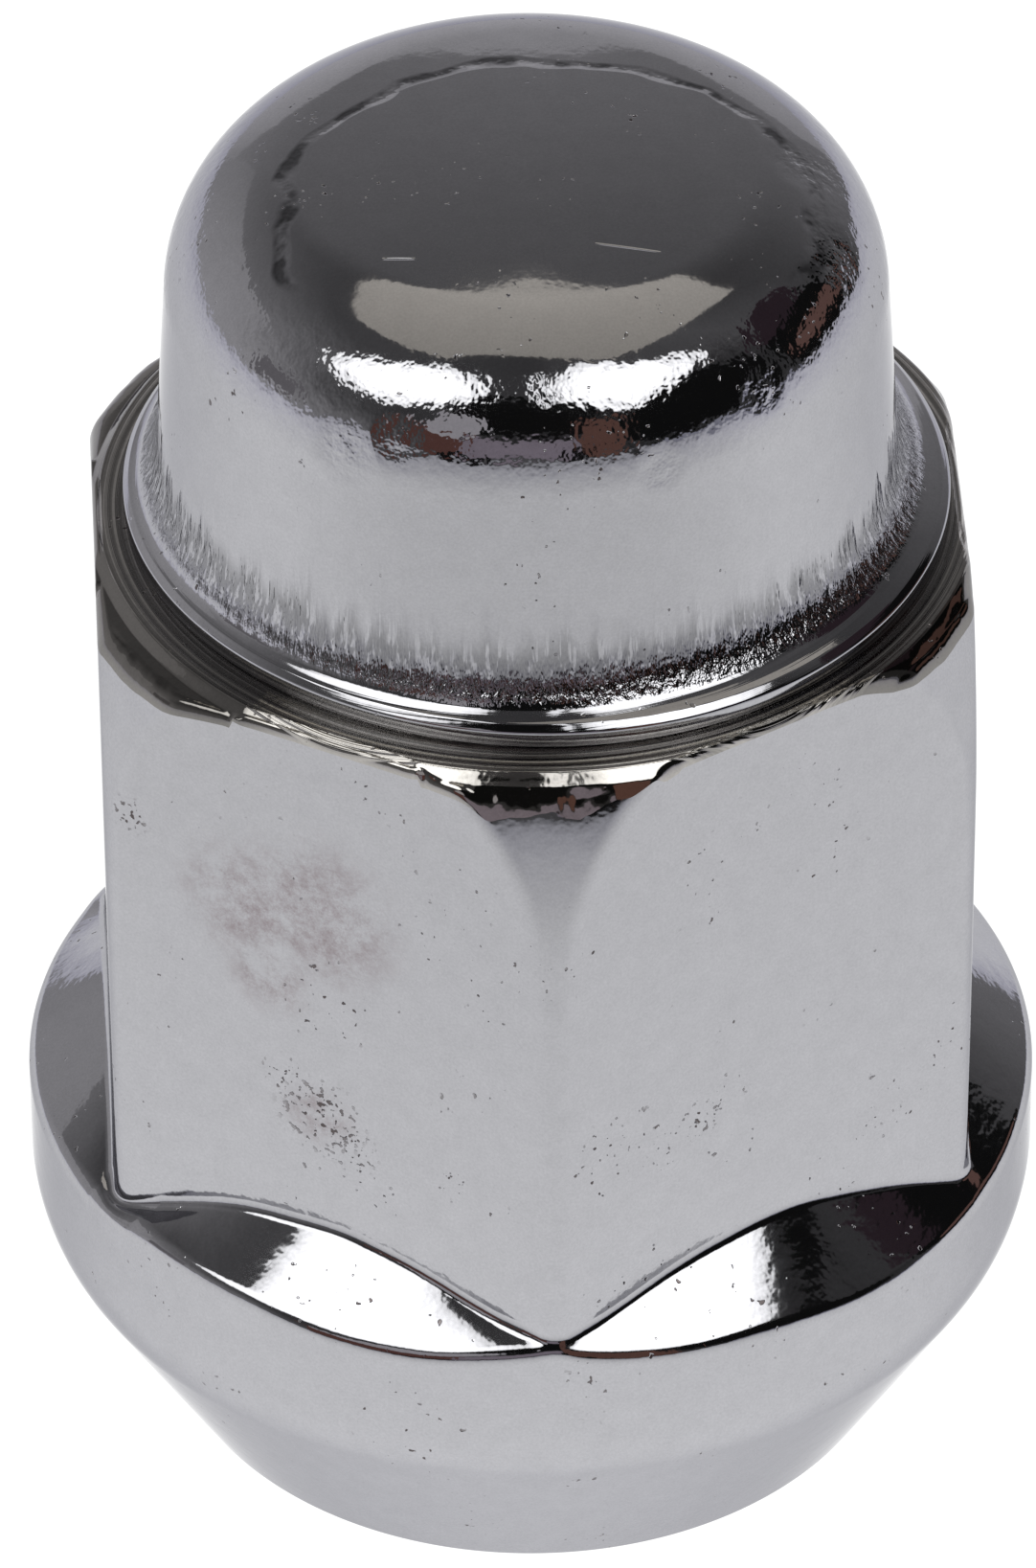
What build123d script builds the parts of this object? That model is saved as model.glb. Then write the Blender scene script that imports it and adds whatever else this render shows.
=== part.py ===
"""Closed-end lug nut: a forged nut body with a bulged 60 degree seat, and a drawn dome cap on its top face.

The thread axis is Z.  The open end face lies on z = 0 and the dome points up.
Two corners of the hexagon lie on the Y axis.  All sizes are millimetres.
"""
from build123d import *
from math import cos, radians, tan
import os

os.makedirs("parts", exist_ok=True)

# ---- wrench hexagon ----
hex_across_flats = 20.64        # 13/16 in wrench
hex_corner_round = 0.73         # rounding of the six upright edges
body_height = 25.54             # open end face to the top face of the hexagon
top_face_inset = 0.06           # the turned top face ends in a circle just inside the flats
crown_slope = 8.0               # degrees below level, shallow cone outside the top face
bevel_slope = 74.0              # degrees below level, steep cone over the corners
bevel_inset = 0.68              # the two cones meet this far inside the corners
bevel_round = 0.80              # rounding between the two cones

# ---- bulge and seat ----
end_face_radius = 9.12          # open end face
seat_half_angle = 30.0          # degrees from the axis: a 60 degree seat
bulge_radius = 12.34            # upright side of the bulge
bulge_band = 3.13               # height of that side between the seat cone and the shoulder
bulge_round = 3.00              # rounding between the seat cone and the side
rim_round = 0.30                # rounding between the side and the shoulder
shoulder_angle = 38.5           # degrees up from level, from the rim in to the flats

# ---- bore, 1/2-20 thread at its minor size ----
thread_minor_radius = 5.66
mouth_chamfer = 1.29            # at the open end, 45 degrees
inner_chamfer = 0.64            # under the dome, 45 degrees

# ---- dome cap, on the top face ----
cap_height = 10.06
sheet_thickness = 1.05
end_thickness = 1.25            # closed end, at the axis
hollow_bevel = 1.85             # inside, between the wall and the closed end
flange_setback = 0.43           # bare ring of the top face outside the flange
flange_thickness = 0.26
flange_width = 1.08             # from the flange's edge in to the foot of the wall
flange_land = 0.12              # level part of the flange, outside the flare
flare_height = 1.75             # top of the flare above the top face
wall_lean = 3.5                 # degrees inward from upright
dome_crown = 0.74               # rise of the closed end from the wall's line to the axis
dome_edge_round = 3.60          # outside rounding between the wall and the end

# ---- radii and levels that follow ----
hex_half = hex_across_flats / 2
hex_corner_radius = (hex_half - hex_corner_round) / cos(radians(30)) + hex_corner_round
top_face_radius = hex_half - top_face_inset
bevel_radius = hex_corner_radius - bevel_inset

seat_height = (bulge_radius - end_face_radius) / tan(radians(seat_half_angle))
rim_height = seat_height + bulge_band

flange_radius = top_face_radius - flange_setback
flange_top = body_height + flange_thickness
flare_top = body_height + flare_height
wall_foot_radius = flange_radius - flange_width
overall_height = body_height + cap_height

# How far hidden and cutting faces run past the form.
overlap = 1.0


def turned(outline):
    """A solid of revolution about Z from a half outline, drawn as (radius, height)."""
    return revolve(Plane.XZ * outline, Axis.Z, 360)


def path(*points):
    """Straight edges from point to point."""
    return [Line(a, b) for a, b in zip(points, points[1:])]


def bulge():
    """Seat cone, bulge and shoulder.  The shoulder runs on inward, under the hexagon."""
    core_radius = hex_half - overlap
    core_height = rim_height + (bulge_radius - core_radius) * tan(radians(shoulder_angle))
    core = (core_radius, core_height)
    end_edge = (end_face_radius, 0)
    side_foot = (bulge_radius, seat_height)
    rim = (bulge_radius, rim_height)
    side = FilletPolyline(end_edge, side_foot, rim, core, radius=[bulge_round, rim_round])
    return turned(make_face([*side.edges(), *path(core, (0, core_height), (0, 0), end_edge)]))


def crown():
    """The turned form that trims the hexagon: level top face, shallow cone, steep bevel at the corners."""
    base = rim_height - overlap
    wide = hex_corner_radius + overlap
    bevel_height = body_height - (bevel_radius - top_face_radius) * tan(radians(crown_slope))
    bevel_foot = bevel_height - (wide - bevel_radius) * tan(radians(bevel_slope))
    face_edge = (top_face_radius, body_height)
    low = (wide, bevel_foot)
    cones = FilletPolyline(face_edge, (bevel_radius, bevel_height), low, radius=bevel_round)
    inside = path(low, (wide, base), (0, base), (0, body_height), face_edge)
    return turned(make_face([*cones.edges(), *inside]))


def hexagon():
    """Wrench hexagon with rounded upright edges, from inside the bulge to the top face."""
    outline = RegularPolygon(hex_half, 6, major_radius=False, rotation=30)
    outline = fillet(outline.vertices(), hex_corner_round)
    base = rim_height - overlap / 2
    return Pos(0, 0, base) * extrude(outline, body_height - base)


def bore():
    """Through bore with a chamfer at each mouth."""
    below = -overlap
    above = body_height + overlap
    mouth_radius = thread_minor_radius + mouth_chamfer
    inner_radius = thread_minor_radius + inner_chamfer
    outline = path(
        (0, below),
        (mouth_radius, below),
        (mouth_radius, 0),
        (thread_minor_radius, mouth_chamfer),
        (thread_minor_radius, body_height - inner_chamfer),
        (inner_radius, body_height),
        (inner_radius, above),
        (0, above),
        (0, below),
    )
    return turned(make_face(outline))


def nut_body():
    return bulge() + (hexagon() & crown()) - bore()


def wall_radius(height):
    """Outside radius of the leaning wall at a height."""
    return wall_foot_radius - (height - flare_top) * tan(radians(wall_lean))


def dome():
    """The filled dome above its flare: leaning wall, rounded edge, crowned end."""
    end_height = overall_height - dome_crown
    end_edge = (wall_radius(end_height), end_height)
    end = TangentArc((0, overall_height), end_edge, tangent=(1, 0))
    wall = path(end_edge, (wall_foot_radius, flare_top), (0, flare_top), (0, overall_height))
    outline = make_face([end, *wall])
    corner = outline.vertices().sort_by(Axis.Y)[-2]
    return turned(fillet(corner, dome_edge_round))


def hollow():
    """The space inside the dome: leaning wall, bevelled corner, level end."""
    end_height = overall_height - end_thickness
    bevel_height = end_height - hollow_bevel
    bevel_start = (wall_radius(bevel_height) - sheet_thickness, bevel_height)
    bevel_end = (bevel_start[0] - hollow_bevel, end_height)
    mouth = (wall_radius(body_height) - sheet_thickness, body_height)
    axis = [(0, end_height), (0, body_height)]
    return turned(make_face(path(*axis, mouth, bevel_start, bevel_end, axis[0])))


def foot():
    """The filled foot of the cap: concave flare out to a thin flange."""
    flare_start = (wall_foot_radius, flare_top)
    flare_end = (flange_radius - flange_land, flange_top)
    flare = TangentArc(flare_start, flare_end, tangent=(tan(radians(wall_lean)), -1))
    flange = path(flare_end, (flange_radius, flange_top), (flange_radius, body_height), (0, body_height))
    return turned(make_face([flare, *flange, *path((0, body_height), (0, flare_top), flare_start)]))


def dome_cap():
    """Drawn sheet dome, open below."""
    return dome() + foot() - hollow()


parts = {
    "nut_body": nut_body(),
    "dome_cap": dome_cap(),
}

for name, solid in parts.items():
    solid.label = name
    export_step(solid, f"parts/{name}.step")
    print(name, "valid", solid.is_valid, "volume", round(solid.volume, 1))
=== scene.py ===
from math import atan2, cos, pi, radians, sin, tan

import bpy
import numpy as np
from mathutils import Matrix, Vector, noise

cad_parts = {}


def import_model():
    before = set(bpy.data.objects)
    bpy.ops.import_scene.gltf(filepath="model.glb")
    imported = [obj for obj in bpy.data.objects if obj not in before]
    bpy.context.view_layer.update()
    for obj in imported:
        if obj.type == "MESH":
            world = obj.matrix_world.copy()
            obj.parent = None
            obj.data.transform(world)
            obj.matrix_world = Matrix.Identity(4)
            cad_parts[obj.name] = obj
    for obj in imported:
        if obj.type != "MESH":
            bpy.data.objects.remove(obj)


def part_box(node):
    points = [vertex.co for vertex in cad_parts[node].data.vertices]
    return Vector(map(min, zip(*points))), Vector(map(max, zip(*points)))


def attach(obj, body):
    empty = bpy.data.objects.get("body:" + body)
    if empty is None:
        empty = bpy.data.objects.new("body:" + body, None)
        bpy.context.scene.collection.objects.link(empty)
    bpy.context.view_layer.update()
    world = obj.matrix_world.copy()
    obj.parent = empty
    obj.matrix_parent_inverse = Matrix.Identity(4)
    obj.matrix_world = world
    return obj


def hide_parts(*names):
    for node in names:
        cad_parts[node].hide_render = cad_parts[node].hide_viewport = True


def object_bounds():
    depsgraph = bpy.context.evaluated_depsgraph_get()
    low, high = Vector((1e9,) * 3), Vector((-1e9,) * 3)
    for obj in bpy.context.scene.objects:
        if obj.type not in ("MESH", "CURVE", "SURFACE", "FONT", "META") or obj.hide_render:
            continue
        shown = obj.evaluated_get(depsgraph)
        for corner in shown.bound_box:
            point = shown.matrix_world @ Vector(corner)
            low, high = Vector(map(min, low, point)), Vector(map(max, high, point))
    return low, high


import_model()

CAD_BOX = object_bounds()
MM = 0.001

# ---- the part's places, from the CAD nodes (mm) ----
BODY_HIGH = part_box("nut_body")[1] / MM
CAP_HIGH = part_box("dome_cap")[1] / MM
TOP = BODY_HIGH.z  # the turned top face
APEX = CAP_HIGH.z  # top of the dome
BULGE = BODY_HIGH.x  # upright side of the bulge
FLANGE = CAP_HIGH.x  # edge of the cap's flange

# Azimuths are degrees from +X. The corners are at 30, 90 and so on, and 270 is the front one.

# ---- wrench hexagon (mm) ----
HEX_HALF = 10.32
HEX_ROUND = 0.73
HEX_CENTRE = (HEX_HALF - HEX_ROUND) / cos(radians(30))  # from the axis to a rounding's centre
HEX_CORNER = HEX_CENTRE + HEX_ROUND
BEVEL_FOOT = 19.5  # the corners start to lean in at this height
BEVEL_REACH = 5.1
BEVEL_INSET = {  # how far in they are at BEVEL_REACH above it, by azimuth
    30: 0.62, 90: 0.62, 150: 0.62, 210: 0.62, 255: 0.76, 285: 0.76, 330: 0.62,
}
BEVEL_POWER = 2.2
CORNER_BLEND = 0.10
SPLIT = 12.2  # the flats' mesh ends and the bulge's begins
FLAT_ROWS = 60
FLAT_POWER = 1.9  # the rows crowd towards the top edge
EDGE_MATCH = 0.12  # reach over which the flats meet the top face's edge exactly

# ---- turned top face, its step and the corners outside it (mm) ----
DISC_RADIUS = 9.9  # level inside this radius
STEP_RADIUS = 10.46  # the turned disc ends in a narrow 45 degree step
STEP = 0.24
STEP_EASE = 0.15  # share of the step that is eased instead of straight
STEP_SHIFT = 0.25  # the disc was turned off centre, towards +X
STEP_WANDER = 0.02
EAR_SLOPE = 10.0  # degrees below level, the corners outside the step
FRONT_EAR = (1.52, 0.9)  # the struck front corner falls away: slope, and its growth
STRUCK = ((257, 6), (292, 5))  # where that corner starts and ends, each with its fade
TOP_ROWS = 88

# ---- edges between the top face and the flats (mm) ----
EDGE_BAND = {0: 0.08, 60: 0.08, 120: 0.08, 180: 0.08, 240: 0.12, 300: 0.01}
EDGE_BAND_END = (10.66, 0.12)  # radius where that 45 degree band is gone, and its fade
EDGE_INSET = 0.14  # below the band the edge turns steeply over this width
EDGE_FALL = 0.25
CORNER_FROM = 10.45  # radius of the edge past which its rounding widens
CORNER_ROLL = {  # how much wider the rounding gets towards each corner
    0: 0.2, 30: 0.75, 90: 0.75, 150: 0.75, 180: 0.4, 210: 0.35, 240: 0.1, 270: 0.12, 300: 0.1, 330: 0.35,
}
ROLL_TURN = 0.97  # share of a quarter round that the edge turns through
ROLL_DROP = 0.757  # drop of that share, for a round of 1
ROLL_FALL = 0.8  # a wider rounding falls further
STRUCK_EDGE = (10.70, 0.10)  # the struck corner isn't rounded past this radius; fade
CORNER_EDGE = 10.6  # past it the rounding adds to the corner's own fall

# ---- hammered corners ----
CRUMPLED = {270: 1.7, 210: 0.8, 330: 0.8, 30: 0.4, 90: 0.4, 150: 0.5}
CRUMPLE_REACH = 10.0  # degrees to each side of a corner
CRUMPLE_FADE = 5.0
CRUMPLE_LUMPS = [(0.055, 1.15), (0.022, 2.7), (0.007, 6.5)]  # depth (mm), and lumps per mm
CRUMPLE_START = 0.15  # mm outside the step over which they begin
NOISE_LEVEL = 0.37  # slice of the noise that the lumps are read from

# ---- shoulder, bulge, seat and end (mm) ----
FOOT_SHAPE = {0: 10.42, 7: 10.36, 12: 10.15, 17: 9.90, 23: 9.45, 28: 9.10, 30: 9.05}
FOOT = {  # height of the flats' feet by azimuth, on the three front corners
    210: 9.02, 213: 9.22, 219.7: 9.93, 226: 10.37, 233: 10.51, 240: 10.50, 245: 10.36, 250.5: 10.16,
    255.8: 9.87, 260.9: 9.46, 265.7: 9.22, 270: 9.17, 274: 9.22, 278: 9.44, 283: 9.79, 288: 10.05,
    294.5: 10.23, 300: 10.34, 306: 10.33, 311.7: 10.13, 317: 9.91, 323: 9.54, 328: 9.03, 331: 8.88,
}
FOOT_SPAN = (209, 332)  # FOOT takes the place of FOOT_SHAPE between these azimuths
RIM = {  # height where the shoulder meets the bulge's side
    0: 8.72, 60: 8.72, 120: 8.72, 180: 8.82, 205: 9.05, 211: 9.20, 217: 9.38, 226: 9.28, 236: 9.16, 246: 9.00,
    255: 8.93, 260: 9.06, 268: 9.25, 275: 9.05, 285: 8.88, 293: 8.88, 302: 8.72, 308: 8.52, 315: 8.42,
    325: 8.42, 335: 8.52, 350: 8.68,
}
RIM_ROUND = 0.55
RIM_SHARE = 0.55  # largest share of the shoulder that the rim's rounding takes
FOOT_ROUND = 0.42
FOOT_SHARE = 0.36
FLAT_SIDE = 267  # azimuth where the bulge is a little smaller
FRONT_FLAT = 0.32  # how much smaller
FRONT_POWER = 4
FRONT_DROP = 0.11  # the rim is this much lower there
KEPT_RIM = (0.6, 9)  # but less so close to the corner: share, and degrees
STEEPER = 0.13  # foot up and rim down, for a steeper shoulder
STEEP_MIDDLE = 268
STEEP_BEFORE = (24, 12)  # degrees that it lasts before the middle, then its fade
STEEP_AFTER = (34, 22)
SEAT_HEIGHT = 5.577
SEAT_ROUND = 3.0
END_RADIUS = 9.12
END_ROUND = 0.18
MOUTH_RADIUS = 6.95

# ---- bore and thread (mm) ----
MINOR = 5.66
PITCH = 1.27
THREAD_DEPTH = 0.62
THREAD_FLANK = 1.28  # the groove's profile, from its crest to its root
THREAD_CREST = 0.12
MOUTH_CHAMFER = 1.29
INNER_CHAMFER = 0.64
BORE_COLUMNS = 200
BORE_ROWS = 264

# ---- dome cap (mm) ----
CAP_COLUMNS = 540
WALL_FOOT = 8.75
WALL_LEAN = 3.5
FLARE_TOP = TOP + 2.16
FLARE = [  # from the wall out: the normal's elevation at both ends, and length
    (3.5, 14, 0.40), (14, 21, 0.31), (21, 31, 0.21), (31, 42, 0.26), (42, 52, 0.35), (52, 66, 0.34),
    (66, 47, 0.05), (47, 45, 0.17), (45, 2, 0.09),
]
FLANGE_EDGE = (0.14, 0.12)  # last rows of the flange's side, above the top face
FLANGE_UNDER = 0.10  # its lower edge is set in
NARROW = 0.22  # the flange is narrower round NARROW_SIDE
NARROW_SIDE = 235
NARROW_REACH = 75
FLANGE_SHIFT = 0.20  # the flange sits off centre, towards +X
CAP_SHIFT = 0.06  # the wall's foot sits off centre, towards +Y
SHIFT_START = 2.0  # below the apex
SHIFT_REACH = 5.5
CROWN_RISE = 0.74
DOME_ROUND = 3.60
SHEET = 1.05
END_THICKNESS = 1.25
HOLLOW_ROUND = 2.2

# ---- the camera (mm, degrees) ----
CAM_DISTANCE = 287.92
CAM_ELEVATION = 38.466
CAM_SIDE = 2.716
CAM_ROLL = -0.364
CAM_LENS = 274.34
CAM_LOOK_HEIGHT = 0.48  # above the middle of the box
CAM_RIGHT = -0.270
CAM_UP = -1.126

# ==== meshes ====


def columns(per_corner=84, per_side=72, corner_half=11.0):
    """Azimuths round the axis, closer together at the hexagon's six corners."""
    corner = np.linspace(-corner_half, corner_half, per_corner, endpoint=False)
    side = np.linspace(corner_half, 60 - corner_half, per_side, endpoint=False)
    sector = np.concatenate([corner, side])
    return np.radians(np.concatenate([sector + 30 + 60 * k for k in range(6)]))


def even_columns(count):
    return np.linspace(0, 2 * pi, count, endpoint=False)


def add_object(name, data):
    thing = bpy.data.objects.new(name, data)
    bpy.context.scene.collection.objects.link(thing)
    return thing


def sheet_mesh(name, x, y, z, centre=None):
    """A closed band of quads from rows by columns in mm; centre closes its first row with a fan."""
    rows, cols = x.shape
    points = np.stack([x, y, z], -1).reshape(-1, 3) * MM
    i, j = np.meshgrid(np.arange(rows - 1), np.arange(cols), indexing="ij")
    k = (j + 1) % cols
    quads = np.stack([i * cols + j, (i + 1) * cols + j, (i + 1) * cols + k, i * cols + k], -1)
    faces = quads.reshape(-1, 4).tolist()
    verts = points.tolist()
    if centre is not None:
        verts.append([value * MM for value in centre])
        faces += [[len(verts) - 1, a, (a + 1) % cols] for a in range(cols)]
    mesh = bpy.data.meshes.new(name)
    mesh.from_pydata(verts, [], faces)
    mesh.polygons.foreach_set("use_smooth", [True] * len(mesh.polygons))
    mesh.update()
    return add_object(name, mesh)


def smooth(t):
    """0 below 0, 1 above 1, and an even S between."""
    t = np.clip(t, 0, 1)
    return t * t * (3 - 2 * t)


def off_from(azimuth, az):
    """Degrees from an azimuth, -180 to 180, for angles in radians."""
    return (np.degrees(az) - azimuth + 180) % 360 - 180


def guarded(count, guard=0.02):
    """Fractions along a run, with a close row at each end so that the shading stays flat."""
    return np.concatenate([[0, guard], np.linspace(0, 1, count + 2)[1:-1], [1 - guard]])


def soft_min(a, b, width):
    """The lower of two heights, with a round of that width where they cross."""
    h = np.clip(0.5 + 0.5 * (b - a) / width, 0, 1)
    return b + (a - b) * h - width * h * (1 - h)


def by_azimuth(table, az, reach=0.62, fade=0.24):
    """A value for each sector, blended where the sectors meet; reach and fade are shares of a sector."""
    gap = 360 / len(table)
    total = np.zeros_like(az)
    weight = np.zeros_like(az)
    for key in sorted(table):
        w = smooth((gap * reach - np.abs(off_from(key, az))) / (gap * fade))
        total += w * table[key]
        weight += w
    return total / weight


def along(table, az, spread=3, samples=9):
    """A value by azimuth, joined smoothly all the way round."""
    keys = sorted(table)
    values = [table[key] for key in keys]
    shifts = np.linspace(-spread, spread, samples)
    degrees = np.degrees(az)
    return np.mean([np.interp(degrees + shift, keys, values, period=360) for shift in shifts], axis=0)


def rounded_run(points, rounds, counts, arc=9):
    """A section with rounded turns: (r, z) arrays by column, and a round for each inner point."""
    points = [np.stack(np.broadcast_arrays(*p), -1) for p in points]
    rows = []
    start = points[0]
    for n, (point, after, radius) in enumerate(zip(points[1:-1], points[2:], rounds)):
        before = points[n]
        into = point - before
        out = after - point
        into = into / np.linalg.norm(into, axis=-1, keepdims=True)
        out = out / np.linalg.norm(out, axis=-1, keepdims=True)
        turn = np.arccos(np.clip((into * out).sum(-1), -1, 1))
        radius = np.broadcast_to(radius, turn.shape)[:, None]
        trim = radius * np.tan(turn / 2)[:, None]
        entry = point - into * trim
        leave = point + out * trim
        rows += [start + (entry - start) * t for t in guarded(counts[n])]
        side = np.sign(into[:, 0] * out[:, 1] - into[:, 1] * out[:, 0])
        normal = np.stack([-into[:, 1], into[:, 0]], -1) * side[:, None]
        middle = entry + normal * radius
        for share in np.linspace(0, 1, arc, endpoint=False):
            c, s = np.cos(turn * share)[:, None], np.sin(turn * share)[:, None]
            rows.append(middle - normal * radius * c + into * radius * s)
        start = leave
    rows += [start + (points[-1] - start) * t for t in [*guarded(counts[-1]), 1.0]]
    rows = np.array(rows)
    return rows[..., 0], rows[..., 1]


def hex_radius(az):
    """Distance from the axis to the rounded hexagon."""
    off = np.abs((np.degrees(az) + 360) % 60 - 30)      # 0 at the corners, 30 at the middles of the flats
    angle = np.radians(off)
    flat = HEX_HALF / np.cos(radians(30) - angle)
    inside = np.clip(HEX_ROUND ** 2 - (HEX_CENTRE * np.sin(angle)) ** 2, 0, None)
    arc = HEX_CENTRE * np.cos(angle) + np.sqrt(inside)
    touch = atan2((HEX_HALF - HEX_ROUND) * tan(radians(30)), HEX_HALF)
    return np.where(angle < radians(30) - touch, arc, flat)


def bevelled(height, az):
    """Distance from the axis to the hexagon with its corners leaning in towards the top."""
    rise = np.clip((height - BEVEL_FOOT) / BEVEL_REACH, 0, None)
    bevel = HEX_CORNER - along(BEVEL_INSET, az) * rise ** BEVEL_POWER
    leaning = soft_min(hex_radius(az), bevel + CORNER_BLEND / 4, CORNER_BLEND)
    return np.where(rise > 0, leaning, hex_radius(az))


def crumple(radius, az):
    """How far the struck corners are pressed down: shallow lumps, deeper towards the corner's tip."""
    start = STEP_RADIUS + STEP
    drop = np.zeros(np.broadcast(radius, az).shape)
    for corner, amount in CRUMPLED.items():
        off = np.abs(off_from(corner, az))
        for j in np.flatnonzero(off < CRUMPLE_REACH):
            window = amount * float(smooth((CRUMPLE_REACH - off[j]) / CRUMPLE_FADE))
            for i in np.flatnonzero(radius[:, j] > start):
                r = radius[i, j]
                place = Vector((r * cos(az[j]), r * sin(az[j]), NOISE_LEVEL))
                rough = sum(depth * noise.noise(place * scale) for depth, scale in CRUMPLE_LUMPS)
                drop[i, j] = window * rough * min((r - start) / CRUMPLE_START, 1)
    return drop


def step_edge(az):
    """Radius where the turned disc's step starts: a circle off the centre, a little uneven."""
    wander = STEP_WANDER * np.array([noise.noise(Vector((cos(a) * 8, sin(a) * 8, 0.3))) for a in az])
    return STEP_RADIUS + STEP_SHIFT * np.cos(az) + wander


def struck(az):
    """1 on the struck front corner, 0 elsewhere."""
    (first, fade_in), (last, fade_out) = STRUCK
    degrees = np.degrees(az) % 360
    return smooth((degrees - first) / fade_in) * smooth((last - degrees) / fade_out)


def rolled_edge(inset, edge, az):
    """Fall of the top face at this inset from its edge: a 45 degree band, then a rounding."""
    end, fade = EDGE_BAND_END
    band = by_azimuth(EDGE_BAND, az) * smooth((end - edge) / fade) + 0.001  # never 0, to divide by it
    fallen = band * np.clip((band + EDGE_INSET - inset) / band, 0, 1)
    wider = along(CORNER_ROLL, az) * np.clip(edge - CORNER_FROM, 0, None)
    wide = EDGE_INSET + wider
    turn = ROLL_TURN * np.clip((wide - inset) / wide, 0, 1)
    return fallen + (EDGE_FALL + ROLL_FALL * wider) * (1 - np.sqrt(1 - turn * turn)) / ROLL_DROP


def crown(radius, edge, az):
    """Height of the top face: level disc, narrow step, gently falling corners, edges rolled over."""
    step = step_edge(az)
    past = (radius - step) / STEP
    ear = STEP * (STEP_EASE * smooth(past) + (1 - STEP_EASE) * np.clip(past, 0, 1))
    front = struck(az)
    beyond = np.clip(radius - step - STEP, 0, None)
    slope, growth = FRONT_EAR
    curve = slope * beyond + growth * beyond * beyond
    ear = ear + tan(radians(EAR_SLOPE)) * beyond * (1 - front) + curve * front
    end, fade = STRUCK_EDGE
    rolled = rolled_edge(edge - radius, edge, az) * (1 - front * smooth((edge - end) / fade))
    ear = ear + np.where(edge > CORNER_EDGE, rolled, 0)
    return TOP - np.maximum(ear, rolled) - crumple(radius, az)


def top_edge(az, rounds=24, step=0.4):
    """Radius and height of the line where the top face meets the flats and the leaning corners."""
    height = np.full_like(az, TOP - 0.35)               # a first guess, which the rounds improve
    for _ in range(rounds):
        edge = bevelled(height, az)
        height = (1 - step) * height + step * crown(edge[None, :], edge[None, :], az)[0]
    return edge, crown(edge[None, :], edge[None, :], az)[0]


def top_piece(az, edge):
    """The turned top face, its step and the six struck corners."""
    bore = INNER_CHAMFER + MINOR
    rows = [np.full_like(az, bore + (DISC_RADIUS - bore) * t) for t in guarded(5)]
    rows += [DISC_RADIUS + (edge - DISC_RADIUS) * t for t in np.linspace(0, 1, TOP_ROWS)]
    radius = np.array(rows)
    height = crown(radius, edge, az)
    return sheet_mesh("hexagon_top", radius * np.cos(az), radius * np.sin(az), height)


def flats_piece(az, edge, top):
    """The six flats and the leaning corners, from the top edge down."""
    down = np.linspace(0, 1, FLAT_ROWS) ** FLAT_POWER
    height = top - (top - SPLIT) * down[:, None]
    radius = bevelled(height, az)
    radius = radius + (edge - radius[0]) * np.exp(-(top - height) / EDGE_MATCH)
    x, y = radius * np.cos(az), radius * np.sin(az)
    return sheet_mesh("hexagon_flats", x, y, height)


def foot_heights():
    """Height of the flats' feet: alike at the back, and each its own at the front."""
    table = {(middle + side * off) % 360: level for middle in (0, 60, 120, 180)
             for off, level in FOOT_SHAPE.items() for side in (-1, 1)}
    first, last = FOOT_SPAN
    kept = {key: level for key, level in table.items() if not first < key < last}
    return {**kept, **FOOT}


def shoulder_levels(az, front):
    """Heights of the shoulder's two ends, at the flats and at the rim."""
    share, degrees = KEPT_RIM
    off = np.degrees(az) % 360
    drop = front * (1 - share * np.exp(-(((off - FLAT_SIDE) / degrees) ** 2)))
    off = off - STEEP_MIDDLE
    (before, fade_in), (after, fade_out) = STEEP_BEFORE, STEEP_AFTER
    steep = STEEPER * smooth(1 - np.where(off < 0, (-off - before) / fade_in, (off - after) / fade_out))
    return along(foot_heights(), az) + steep, along(RIM, az) - steep - FRONT_DROP * drop


def bulge_piece(az):
    """The flats' feet, shoulder, rim, bulge, conical seat and open end face."""
    outer = hex_radius(az)
    front = np.clip(np.cos(az - radians(FLAT_SIDE)), 0, 1) ** FRONT_POWER
    side = BULGE - FRONT_FLAT * front
    foot, rim = shoulder_levels(az, front)
    slope = np.arctan2(foot - rim, side - outer)
    room = np.hypot(side - outer, foot - rim) / np.tan((pi / 2 - slope) / 2)
    foot_round = np.minimum(FOOT_ROUND, room * FOOT_SHARE)
    rim_round = np.minimum(RIM_ROUND, room * RIM_SHARE)
    section = [
        (outer, np.full_like(az, SPLIT)),
        (outer, foot),
        (side, rim),
        (side, SEAT_HEIGHT),
        (np.full_like(az, END_RADIUS), 0.0),
        (np.full_like(az, MOUTH_RADIUS), 0.0),
    ]
    rounds = [foot_round, rim_round, SEAT_ROUND, END_ROUND]
    r, z = rounded_run(section, rounds, counts=[5, 8, 6, 7, 2], arc=15)
    return sheet_mesh("bulge", r * np.cos(az), r * np.sin(az), z)


def bore_piece():
    """Threaded bore with a chamfer at each mouth."""
    z, a = np.meshgrid(np.linspace(0, TOP, BORE_ROWS), even_columns(BORE_COLUMNS), indexing="ij")
    turn = (z / PITCH - a / (2 * pi)) % 1
    groove = np.clip(THREAD_FLANK * (1 - np.abs(2 * turn - 1)) - THREAD_CREST, 0, 1)
    r = MINOR + THREAD_DEPTH * groove
    r = np.maximum(r, MINOR + MOUTH_CHAMFER - z)
    r = np.maximum(r, MINOR + INNER_CHAMFER - (TOP - z))
    return sheet_mesh("bore", r * np.cos(a), r * np.sin(a), z)


def wall_radius(height):
    """Outside radius of the leaning wall at a height."""
    return WALL_FOOT - (height - FLARE_TOP) * tan(radians(WALL_LEAN))


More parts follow.
